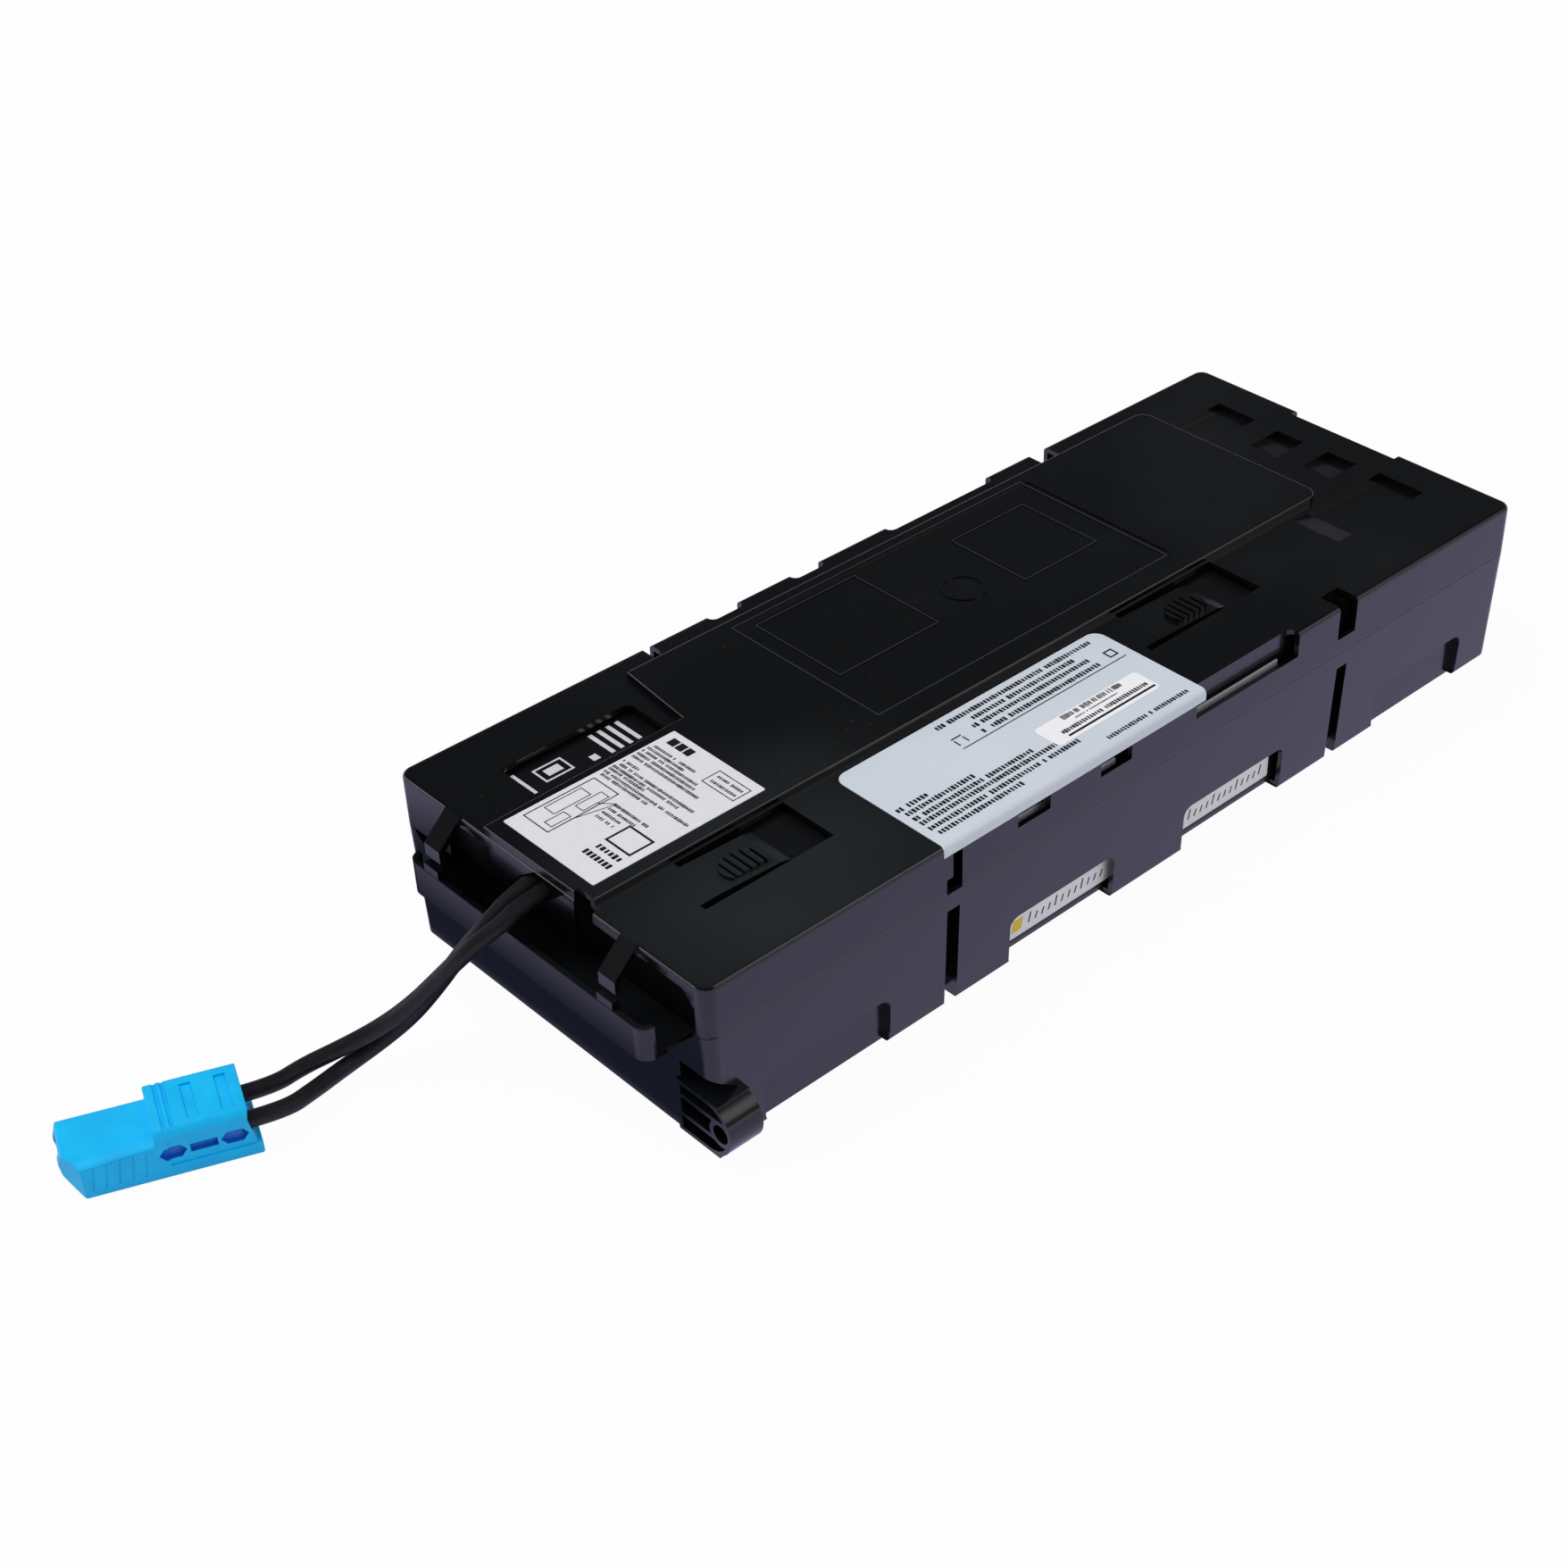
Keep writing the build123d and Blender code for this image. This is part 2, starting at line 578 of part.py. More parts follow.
front_points = [
    FRONT_LEAD_START, place(-3.5, -7.4, 60.8), place(-2.7, -14.9, 58.4), place(-4.5, -22.3, 54.9),
    place(-7.8, -30, 49), place(-13.1, -36.1, 40.2), place(-19.9, -42.6, 29.6),
    place(-27.8, -51, 19.8), place(-35.5, -62.3, 12.6), place(-40.9, -77, 8.8),
    entry_point(ENTRIES[0], 6.0), entry_point(ENTRIES[0], -3.8),
]
rear_points = [
    REAR_LEAD_START, place(-10, -7.1, 59.6), place(-10.1, -13.9, 55.8), place(-11.9, -20.1, 50.3),
    place(-15.4, -25.3, 42.8), place(-21.5, -31.9, 29.6), place(-27.2, -39.1, 18),
    place(-32.8, -48.5, 9.2), place(-34, -63.9, 5.6), place(-33.2, -79.7, 6.4),
    entry_point(ENTRIES[1], 9.0), entry_point(ENTRIES[1], -3.8),
]
cords = [
    wire_route(front_points, bend_radii(front_points), LEAD_R, "lead_negative"),
    wire_route(rear_points, bend_radii(rear_points), LEAD_R, "lead_positive"),
]


# Labels: a white one on the tongue, a grey one that wraps over the right edge with a small
# sticker on it, and the white wraps on the middle blocks that show through the windows.
LABEL_THICK = 0.2
with BuildPart() as tongue_label:
    with BuildSketch(level(PLATEAU)):
        with Locations((-5.0, 43.8)):
            RectangleRounded(48.0, 74.4, 0.6)
    extrude(amount=LABEL_THICK)
tongue_label.part.label = "tongue_label"

with BuildPart() as deck_label:
    with BuildSketch(facing_front(104.0)):
        with BuildLine():
            Polyline((27.5, DECK), (SIDE - 2, DECK))
            CenterArc((SIDE - 2, DECK - 2), 2.0, 0, 90)
            Polyline(
                (SIDE, DECK - 2), (SIDE, DECK - 4.5), (SIDE + LABEL_THICK, DECK - 4.5),
                (SIDE + LABEL_THICK, DECK - 2),
            )
            CenterArc((SIDE - 2, DECK - 2), 2.0 + LABEL_THICK, 0, 90)
            Polyline(
                (SIDE - 2, DECK + LABEL_THICK), (27.5, DECK + LABEL_THICK), (27.5, DECK),
            )
        make_face()
    extrude(amount=-132.0)
    fillet(deck_label.edges().filter_by(Axis.Z).group_by(Axis.X)[0], 5.0)
deck_label.part.label = "deck_label"

with BuildPart() as small_sticker:
    with BuildSketch(level(DECK + LABEL_THICK)):
        with Locations((62.5, 199.5)):
            RectangleRounded(13.0, 53.0, 2.0)
    extrude(amount=LABEL_THICK / 2)
small_sticker.part.label = "small_sticker"

stickers = []
for number, start, end in ((2, 122.0, 195.2), (3, 225.0, 284.6)):
    with BuildPart() as sticker:
        with BuildSketch(facing_side(BLOCK_WIDTH / 2)):
            with Locations(((start + end) / 2, 32.0)):
                RectangleRounded(end - start, 54.0, 1.0)
        extrude(amount=0.1)
    sticker.part.label = f"battery_sticker_{number}"
    stickers.append(sticker)

# Pan-head screw that holds the cover's front strap down in its boss.
with BuildPart() as screw:
    with BuildSketch(level(TROUGH_FLOOR)):
        with Locations((-31.5, -0.5)):
            Circle(2.9)
    extrude(amount=2.6)
    fillet(screw.edges().group_by(Axis.Z)[-1], 1.0)
screw.part.label = "screw"

os.makedirs("parts", exist_ok=True)
pieces = [bottom_tray, top_cover, *blocks, *tabs, *flags, *wires, connector_housing, *contacts]
pieces += [*cords, tongue_label, deck_label, small_sticker, *stickers, screw]
for piece in pieces:
    export_step(piece.part, f"parts/{piece.part.label}.step")
print(len(pieces), "pieces")
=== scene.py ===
import math

import bmesh
import bpy
from mathutils import Matrix, Vector


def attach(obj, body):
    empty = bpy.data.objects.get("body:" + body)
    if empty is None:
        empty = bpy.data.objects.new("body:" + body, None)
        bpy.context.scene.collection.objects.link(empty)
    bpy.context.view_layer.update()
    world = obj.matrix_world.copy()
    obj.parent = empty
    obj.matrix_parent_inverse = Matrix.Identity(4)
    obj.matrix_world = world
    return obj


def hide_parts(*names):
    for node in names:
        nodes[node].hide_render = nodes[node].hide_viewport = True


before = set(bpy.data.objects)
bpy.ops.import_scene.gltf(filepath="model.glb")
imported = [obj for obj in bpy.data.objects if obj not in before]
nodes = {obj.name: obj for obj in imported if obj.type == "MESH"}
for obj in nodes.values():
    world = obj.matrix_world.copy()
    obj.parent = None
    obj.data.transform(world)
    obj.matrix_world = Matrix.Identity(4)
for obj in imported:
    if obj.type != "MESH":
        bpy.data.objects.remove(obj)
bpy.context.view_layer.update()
scene = bpy.context.scene
scene.view_settings.view_transform = "Standard"


# The camera stands to the right of the cable end and looks down at the cartridge's long side.
# Its place, turn and lens are those of the photograph.
CAMERA_PLACE = (0.56465, -0.58715, 0.59960)
CAMERA_AZIMUTH = math.radians(46.583)
CAMERA_ELEVATION = math.radians(36.755)
CAMERA_ROLL = math.radians(-0.663)
LENS_MM = 59.98
SENSOR_MM = 36.0
FRAME_SHIFT = (-0.0694, 0.0103)
camera_data = bpy.data.cameras.new("camera")
camera_data.lens = LENS_MM
camera_data.sensor_width = SENSOR_MM
camera_data.shift_x, camera_data.shift_y = FRAME_SHIFT
camera_data.clip_start = 0.01
camera = bpy.data.objects.new("camera", camera_data)
scene.collection.objects.link(camera)
camera.matrix_world = (
    Matrix.Translation(CAMERA_PLACE)
    @ Matrix.Rotation(CAMERA_AZIMUTH, 4, "Z")
    @ Matrix.Rotation(math.pi / 2 - CAMERA_ELEVATION, 4, "X")
    @ Matrix.Rotation(CAMERA_ROLL, 4, "Z")
)
scene.camera = camera


# Two limp stranded leads in black silicone sleeve, 6 mm across. They leave the arch side by
# side, cross once and go into the cable end of the blue connector. Lengths and routes are in
# metres, from the arch to the connector.
LEAD_DIAMETER = 0.006
LEAD_ROUTES = {
    "lead_negative": (
        (-0.0024, -0.2080, 0.0625), (-0.0035, -0.2184, 0.0608), (-0.0027, -0.2259, 0.0584),
        (-0.0045, -0.2333, 0.0549), (-0.0078, -0.2410, 0.0490), (-0.0131, -0.2471, 0.0402),
        (-0.0199, -0.2536, 0.0296), (-0.0278, -0.2620, 0.0198), (-0.0349, -0.2735, 0.0132),
        (-0.0389, -0.2875, 0.0108), (-0.0380, -0.2999, 0.0106), (-0.0430, -0.3122, 0.0106),
    ),
    "lead_positive": (
        (-0.0087, -0.2080, 0.0633), (-0.0100, -0.2181, 0.0596), (-0.0101, -0.2249, 0.0558),
        (-0.0119, -0.2311, 0.0503), (-0.0154, -0.2363, 0.0428), (-0.0215, -0.2429, 0.0296),
        (-0.0272, -0.2501, 0.0180), (-0.0318, -0.2601, 0.0102), (-0.0330, -0.2754, 0.0066),
        (-0.0290, -0.2901, 0.0084), (-0.0254, -0.3034, 0.0106), (-0.0310, -0.3171, 0.0106),
    ),
}
leads = {}
for name, route in LEAD_ROUTES.items():
    curve = bpy.data.curves.new(name + "_sleeve", "CURVE")
    curve.dimensions = "3D"
    # Each knot's radius scales this depth of 1 m, so the knots hold the sleeve's own radius.
    curve.bevel_depth = 1.0
    curve.bevel_resolution = 6
    curve.resolution_u = 14
    curve.use_fill_caps = True
    spline = curve.splines.new("NURBS")
    spline.points.add(len(route) - 1)
    for knot, point in zip(spline.points, route):
        knot.co = (*point, 1.0)
        knot.radius = LEAD_DIAMETER / 2
    spline.order_u = 3
    spline.use_endpoint_u = True
    leads[name] = bpy.data.objects.new(name + "_sleeve", curve)
    scene.collection.objects.link(leads[name])
    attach(leads[name], "root")
    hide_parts(name)


def linear(code):
    """A colour's sRGB hex code as linear red, green, blue and alpha."""
    channels = [int(code[i:i + 2], 16) / 255 for i in (1, 3, 5)]
    return (*[c / 12.92 if c <= 0.04045 else ((c + 0.055) / 1.055) ** 2.4 for c in channels], 1.0)


def add(tree, kind, links=None, **settings):
    """Adds a node with its settings, and sets or links its inputs."""
    made = tree.nodes.new(kind)
    for name, value in settings.items():
        setattr(made, name, value)
    for socket, value in (links or {}).items():
        if isinstance(value, bpy.types.NodeSocket):
            tree.links.new(value, made.inputs[socket])
        else:
            made.inputs[socket].default_value = value
    return made


def material(name, colour, roughness, **sockets):
    """A material with one Principled shader, and its tree and that shader."""
    made = bpy.data.materials.new(name)
    made.use_nodes = True
    shader = made.node_tree.nodes["Principled BSDF"]
    shader.inputs["Base Color"].default_value = linear(colour)
    shader.inputs["Roughness"].default_value = roughness
    for socket, value in sockets.items():
        shader.inputs[socket.replace("_", " ")].default_value = value
    return made, made.node_tree, shader


def mottle(tree, shader, per_metre, detail, dark, pale, start=0.0, end=1.0):
    """Varies a surface's colour in soft patches, and returns its place and their pattern."""
    place = add(tree, "ShaderNodeTexCoord").outputs["Object"]
    patches = add(tree, "ShaderNodeTexNoise", {"Vector": place, "Scale": per_metre,
                                               "Detail": detail}).outputs["Fac"]
    tone = add(tree, "ShaderNodeValToRGB", {"Fac": patches})
    for stop, position, colour in zip(tone.color_ramp.elements, (start, end), (dark, pale)):
        stop.position = position
        stop.color = linear(colour)
    tree.links.new(tone.outputs["Color"], shader.inputs["Base Color"])
    return place, patches


def wear(made, *objects):
    """Gives objects one material in place of their own."""
    for piece in objects:
        piece.data.materials.clear()
        piece.data.materials.append(made)


# Silicone rubber sleeve, extruded over the strands: satin black, with faint scuffs about 4 mm
# apart that break its sheen. The wires between the blocks have the same sleeve.
SCUFFS_PER_METRE = 260.0
silicone, tree, shader = material("black_silicone_sleeve", "#161517", 0.46, IOR=1.43)
place, scuffs = mottle(tree, shader, SCUFFS_PER_METRE, 4.0, "#100f11", "#232124")
grain = add(tree, "ShaderNodeBump", {"Height": scuffs, "Strength": 0.12, "Distance": 0.0004})
tree.links.new(grain.outputs["Normal"], shader.inputs["Normal"])
wear(silicone, *leads.values(), nodes["inner_lead_negative"], nodes["jumper_1_2"],
     nodes["jumper_2_3"], nodes["jumper_3_4"])


# White table top. The case's upright walls mirror it in pale violet, and the cable end's lower
# wall mirrors a dark strip on it, a painted shadow seen only in gloss, whose edges fade between
# the two places given here.
TABLE_HALF = 12.0
TABLE_LEVEL = -0.0004
PAINTED_SHADOW_STRIP = (("Y", -0.268, -0.246), ("Y", -0.205, -0.212), ("X", 0.082, 0.058),
              ("X", -0.2, -0.12))
table_mesh = bpy.data.meshes.new("table_top")
corners = ((-1, -1), (1, -1), (1, 1), (-1, 1))
table_mesh.from_pydata([(x * TABLE_HALF, y * TABLE_HALF, TABLE_LEVEL) for x, y in corners],
                       [], [(0, 1, 2, 3)])
table_top = bpy.data.objects.new("table_top", table_mesh)
scene.collection.objects.link(table_top)
white_table = bpy.data.materials.new("white_table")
white_table.use_nodes = True
tree = white_table.node_tree
tree.nodes.clear()
rays = add(tree, "ShaderNodeLightPath").outputs
spot = add(tree, "ShaderNodeSeparateXYZ", {0: add(tree, "ShaderNodeTexCoord").outputs["Object"]})
shadow_mask = None
for axis, start, end in PAINTED_SHADOW_STRIP:
    edge = add(tree, "ShaderNodeMapRange", {"Value": spot.outputs[axis], "From Min": start,
                                            "From Max": end})
    if shadow_mask is None:
        shadow_mask = edge
    else:
        shadow_mask = add(tree, "ShaderNodeMath", {0: shadow_mask.outputs[0], 1: edge.outputs[0]},
                    operation="MULTIPLY")
# Painted shadow: the strip darkens the table's colour in gloss, where the cable end's lower wall
# mirrors it.
shadowed_mirror_tone = add(tree, "ShaderNodeMix", {0: shadow_mask.outputs[0], 6: linear("#c0bae0"),
                                    7: linear("#3a3f58")}, data_type="RGBA")
mirrored = add(tree, "ShaderNodeEmission", {"Color": shadowed_mirror_tone.outputs[2], "Strength": 1.0})
matt = add(tree, "ShaderNodeBsdfDiffuse", {"Color": linear("#e4e2e6")})
bright = add(tree, "ShaderNodeEmission", {"Color": linear("#ffffff"), "Strength": 1.0})
near_white = add(tree, "ShaderNodeMixShader", {0: 0.96, 1: matt.outputs[0], 2: bright.outputs[0]})
straight = add(tree, "ShaderNodeMixShader", {0: rays["Is Camera Ray"], 1: matt.outputs[0],
                                             2: near_white.outputs[0]})
bent = add(tree, "ShaderNodeMath", {0: rays["Is Glossy Ray"], 1: rays["Is Transmission Ray"]},
           operation="MAXIMUM")
either = add(tree, "ShaderNodeMixShader", {0: bent.outputs[0], 1: straight.outputs[0],
                                           2: mirrored.outputs[0]})
add(tree, "ShaderNodeOutputMaterial", {"Surface": either.outputs[0]})
wear(white_table, table_top)

# Plain surround: white where it is seen, pale low down in the gloss of upright walls, and unlit
# above, where the glossy deck mirrors it. A bright window behind the cartridge's right side
# draws thin lines along its right edges.
WINDOW_AIM = (0.62, 0.53, 0.58)
FALL_STOPS = ((0.03, (0.9, 0.88, 0.95, 1.0)), (0.42, (0.035, 0.038, 0.042, 1.0)))
surround = bpy.data.worlds.new("surround")
scene.world = surround
surround.use_nodes = True
tree = surround.node_tree
tree.nodes.clear()
direction = add(tree, "ShaderNodeTexCoord").outputs["Generated"]
height = add(tree, "ShaderNodeSeparateXYZ", {0: direction}).outputs["Z"]
fall = add(tree, "ShaderNodeValToRGB", {"Fac": height})
for stop, (position, colour) in zip(fall.color_ramp.elements, FALL_STOPS):
    stop.position = position
    stop.color = colour
fall.color_ramp.elements.new(0.16).color = (0.15, 0.15, 0.17, 1.0)
window = add(tree, "ShaderNodeVectorMath", {0: direction, 1: WINDOW_AIM}, operation="DOT_PRODUCT")
pane = add(tree, "ShaderNodeMapRange", {"Value": window.outputs["Value"], "From Min": 0.94,
                                        "From Max": 0.985})
lit = add(tree, "ShaderNodeMix", {0: pane.outputs[0], 6: fall.outputs["Color"],
                                  7: (1.0, 0.98, 1.0, 1.0)}, data_type="RGBA")
rays = add(tree, "ShaderNodeLightPath").outputs
mirror_sky = add(tree, "ShaderNodeBackground", {"Color": lit.outputs[2], "Strength": 1.2})
plain_sky = add(tree, "ShaderNodeBackground", {"Color": linear("#f6f7fa"), "Strength": 0.45})
white_sky = add(tree, "ShaderNodeBackground", {"Color": linear("#ffffff"), "Strength": 1.0})
unseen = add(tree, "ShaderNodeMixShader", {0: rays["Is Glossy Ray"], 1: plain_sky.outputs[0],
                                           2: mirror_sky.outputs[0]})
seen = add(tree, "ShaderNodeMath", {0: rays["Is Camera Ray"], 1: rays["Is Transmission Ray"]},
           operation="MAXIMUM")
either = add(tree, "ShaderNodeMixShader", {0: seen.outputs[0], 1: unseen.outputs[0],
                                           2: white_sky.outputs[0]})
add(tree, "ShaderNodeOutputWorld", {"Surface": either.outputs[0]})

# Soft overhead key, a weaker side fill, and a narrow strip that draws lines along round edges.
# Each has its place and size in metres, its power in watts, and whether gloss mirrors it.
LAMPS = (
    ("overhead_key", (-0.5, -0.7, 1.9), (1.6, 1.6), 23.0, False),
    ("side_fill", (1.7, 0.3, 1.1), (1.0, 1.0), 6.0, False),
    ("edge_strip", (-1.5, -1.6, 0.5), (1.4, 0.22), 3.0, True),
)
for name, place, size, power, mirrored_in_gloss in LAMPS:
    lamp = bpy.data.lights.new(name, "AREA")
    lamp.shape = "RECTANGLE"
    lamp.size, lamp.size_y = size
    lamp.energy = power
    stand = bpy.data.objects.new(name, lamp)
    stand.location = place
    stand.rotation_euler = (-Vector(place)).to_track_quat("-Z", "Y").to_euler()
    stand.visible_glossy = mirrored_in_gloss
    scene.collection.objects.link(stand)


# Case halves: injection-moulded black ABS from a polished tool. It is deeply glossy, with soft
# smudges of handling, most of them near the front tab, and specks of pale dust on what faces
# up. The fine ripple of the mould is drawn 1 mm wide so that it shows.
ABS_IOR = 1.53
SMUDGES_PER_METRE = 11.0
HANDLED_PLACE = (0.055, -0.16, 0.071)
SPECK_SPACING = 0.0045
DRIFTS_PER_METRE = 22.0
RIPPLES_PER_METRE = 900.0
JOINT_LEVEL = 0.05
case_black, tree, shader = material("black_moulded_abs", "#08090b", 0.2, IOR=ABS_IOR,
                                    Coat_Weight=0.35, Coat_Roughness=0.05)
place = add(tree, "ShaderNodeTexCoord").outputs["Object"]
up = add(tree, "ShaderNodeSeparateXYZ", {0: add(tree, "ShaderNodeNewGeometry").outputs["Normal"]})
lying = add(tree, "ShaderNodeMapRange", {"Value": up.outputs["Z"], "From Min": 0.6,
                                         "From Max": 1.0}).outputs[0]
haze = add(tree, "ShaderNodeTexNoise", {"Vector": place, "Scale": SMUDGES_PER_METRE,
                                        "Detail": 3.0, "Roughness": 0.5})
smudge = add(tree, "ShaderNodeMapRange", {"Value": haze.outputs["Fac"], "From Min": 0.5,
                                          "From Max": 0.75, "To Max": 0.22})
reach = add(tree, "ShaderNodeVectorMath", {0: place, 1: HANDLED_PLACE}, operation="DISTANCE")
handled = add(tree, "ShaderNodeMapRange", {"Value": reach.outputs["Value"], "From Min": 0.02,
                                           "From Max": 0.085, "To Min": 0.75, "To Max": 0.0})
grease = add(tree, "ShaderNodeMath", {0: smudge.outputs[0], 1: handled.outputs[0]},
             operation="ADD")
film = add(tree, "ShaderNodeMath", {0: grease.outputs[0], 1: lying}, operation="MULTIPLY",
           use_clamp=True).outputs[0]
skin = add(tree, "ShaderNodeMix", {0: film, 6: linear("#08090b"), 7: linear("#24282a")},
           data_type="RGBA")
specks = add(tree, "ShaderNodeTexVoronoi", {"Vector": place, "Scale": 1.0 / SPECK_SPACING,
                                            "Randomness": 1.0})
speck = add(tree, "ShaderNodeMapRange", {"Value": specks.outputs["Distance"], "From Min": 0.035,
                                         "From Max": 0.06, "To Min": 1.0, "To Max": 0.0})
drift = add(tree, "ShaderNodeTexNoise", {"Vector": place, "Scale": DRIFTS_PER_METRE,
                                         "Detail": 4.0})
gather = add(tree, "ShaderNodeMapRange", {"Value": drift.outputs["Fac"], "From Min": 0.48,
                                          "From Max": 0.66, "To Max": 0.55})
dust = add(tree, "ShaderNodeMath", {0: speck.outputs[0], 1: gather.outputs[0]},
           operation="MULTIPLY")
settled = add(tree, "ShaderNodeMath", {0: dust.outputs[0], 1: lying}, operation="MULTIPLY")
dusted = add(tree, "ShaderNodeMix", {0: settled.outputs[0], 6: skin.outputs[2],
                                     7: linear("#7d746a")}, data_type="RGBA")
tree.links.new(dusted.outputs[2], shader.inputs["Base Color"])
polish = add(tree, "ShaderNodeMapRange", {"Value": film, "To Min": 0.2, "To Max": 0.42})
tree.links.new(polish.outputs[0], shader.inputs["Roughness"])
skin_wave = add(tree, "ShaderNodeTexNoise", {"Vector": place, "Scale": RIPPLES_PER_METRE,
                                             "Detail": 2.0})
ripple = add(tree, "ShaderNodeBump", {"Height": skin_wave.outputs["Fac"], "Strength": 0.05,
                                      "Distance": 0.0002})
# The halves meet 50 mm up in a fine open joint, drawn 0.5 mm each way so that it shows.
level_up = add(tree, "ShaderNodeSeparateXYZ", {0: place})
off_joint = add(tree, "ShaderNodeMath", {0: level_up.outputs["Z"], 1: JOINT_LEVEL},
                operation="SUBTRACT")
distance = add(tree, "ShaderNodeMath", {0: off_joint.outputs[0]}, operation="ABSOLUTE")
joint = add(tree, "ShaderNodeMapRange", {"Value": distance.outputs[0], "From Min": 0.0001,
                                         "From Max": 0.0005})
groove = add(tree, "ShaderNodeBump", {"Height": joint.outputs[0], "Strength": 1.0,
                                      "Distance": 0.0006, "Normal": ripple.outputs["Normal"]})
tree.links.new(groove.outputs["Normal"], shader.inputs["Normal"])
wear(case_black, nodes["bottom_tray"], nodes["top_cover"])


# Four sealed lead-acid blocks: moulded black ABS with a spark-eroded grain, which gives a soft
# satin face. The grain is drawn 1 mm coarse so that it shows.
PITS_PER_METRE = 900.0
block_black, tree, shader = material("black_grained_abs", "#101113", 0.42, IOR=ABS_IOR)
place = add(tree, "ShaderNodeTexCoord").outputs["Object"]
erosion = add(tree, "ShaderNodeTexVoronoi", {"Vector": place, "Scale": PITS_PER_METRE})
pits = add(tree, "ShaderNodeBump", {"Height": erosion.outputs["Distance"], "Strength": 0.15,
                                    "Distance": 0.0003})
tree.links.new(pits.outputs["Normal"], shader.inputs["Normal"])
BLOCKS = range(1, 5)
wear(block_black, *[nodes[f"battery_{number}"] for number in BLOCKS])

# Push-on tabs of the blocks, stamped from tinned brass, so dull silver, with a receptacle in a
# soft PVC sleeve on each. The positive lead's end inside the case is in dark red silicone.
tinned = material("tinned_brass", "#cfcabb", 0.32, Metallic=1.0)[0]
sleeve_grey = material("soft_pvc_sleeve", "#26262a", 0.5)[0]
for number in BLOCKS:
    for side in ("left", "right"):
        wear(tinned, nodes[f"terminal_{number}_{side}"])
        wear(sleeve_grey, nodes[f"receptacle_{number}_{side}"])
red_sleeve = material("red_silicone_sleeve", "#43100e", 0.46, IOR=1.43)[0]
wear(red_sleeve, nodes["inner_lead_positive"])


# Two-pole power connector: one glass-filled polycarbonate housing, moulded with an upright
# finger grip over its cable end, a sunk panel with recesses on each side and a tapered mating
# part. It is made lying along x in mm, then turned and laid at the leads' ends.
def prism(shape, outline, sweep):
    """Adds a closed prism to a mesh: a flat outline of points, in mm, swept along a vector."""
    start = [shape.verts.new([c / 1000 for c in point]) for point in outline]
    end = [shape.verts.new([(c + d) / 1000 for c, d in zip(point, sweep)]) for point in outline]
    shape.faces.new(start)
    shape.faces.new(end[::-1])
    for here in range(len(start)):
        there = (here + 1) % len(start)
        shape.faces.new((start[there], start[here], end[here], end[there]))


def object_from(name, shape):
    """Turns a finished mesh outwards and gives it an object."""
    bmesh.ops.recalc_face_normals(shape, faces=shape.faces)
    mesh = bpy.data.meshes.new(name)
    shape.to_mesh(mesh)
    shape.free()
    made = bpy.data.objects.new(name, mesh)
    scene.collection.objects.link(made)
    return made


def settle(piece):
    """Applies a piece's modifiers to a plain mesh of its own."""
    bpy.context.view_layer.update()
    posed = piece.evaluated_get(bpy.context.evaluated_depsgraph_get())
    mesh = bpy.data.meshes.new_from_object(posed)
    piece.modifiers.clear()
    piece.data = mesh


def carve(piece, cutter):
    """Cuts one piece with another, which goes."""
    cut = piece.modifiers.new("cut", "BOOLEAN")
    cut.object = cutter
    cut.solver = "EXACT"
    cut.use_self = True
    settle(piece)
    bpy.data.objects.remove(cutter)


HOUSING_WIDE = 24.6
HOUSING_SIDE = (
    (0.6, 0), (57.5, 0), (57.5, 4.8), (55.8, 4.8), (53.8, 15.0), (54.8, 19.8), (24.5, 19.8),
    (24.5, 14.4), (-4.3, 14.4), (-5.8, 9.0), (-5.2, 5.0),
)
RIDGE_LEVELS = (0.0144, 0.0198)
RIDGE_ROUND = 0.0034
EDGE_ROUND = 0.0009
HAIR = 1e-6
shape = bmesh.new()
prism(shape, [(along, 0, z) for along, z in HOUSING_SIDE], (0, HOUSING_WIDE, 0))
bmesh.ops.recalc_face_normals(shape, faces=shape.faces)
for ridge in RIDGE_LEVELS:
    along_top = [edge for edge in shape.edges
                 if all(abs(v.co.y) < HAIR and abs(v.co.z - ridge) < HAIR for v in edge.verts)]
    bmesh.ops.bevel(shape, geom=along_top, offset=RIDGE_ROUND, segments=5, profile=0.5,
                    affect="EDGES")
housing = object_from("connector_shell", shape)
rounding = housing.modifiers.new("round", "BEVEL")
rounding.width, rounding.segments, rounding.limit_method = EDGE_ROUND, 3, "ANGLE"
rounding.angle_limit = math.radians(40)
settle(housing)

# The nose is cut back at one corner, and the mouth behind it is open to the contacts.
NOSE_CUT = ((0.9, -1), (0.3, 0), (-5.8, 9.5), (-10, 9.5), (-10, -1))
MOUTH = ((14, 2.6), (14, 22), (-10, 22), (-10, 13.2), (-5.8, 13.2), (1, 2.6))
cutters = bmesh.new()
prism(cutters, [(*corner, -1) for corner in NOSE_CUT], (0, 0, 22))
carve(housing, object_from("nose_cutter", cutters))
cutters = bmesh.new()
prism(cutters, [(*corner, 3) for corner in MOUTH], (0, 0, 8.8))

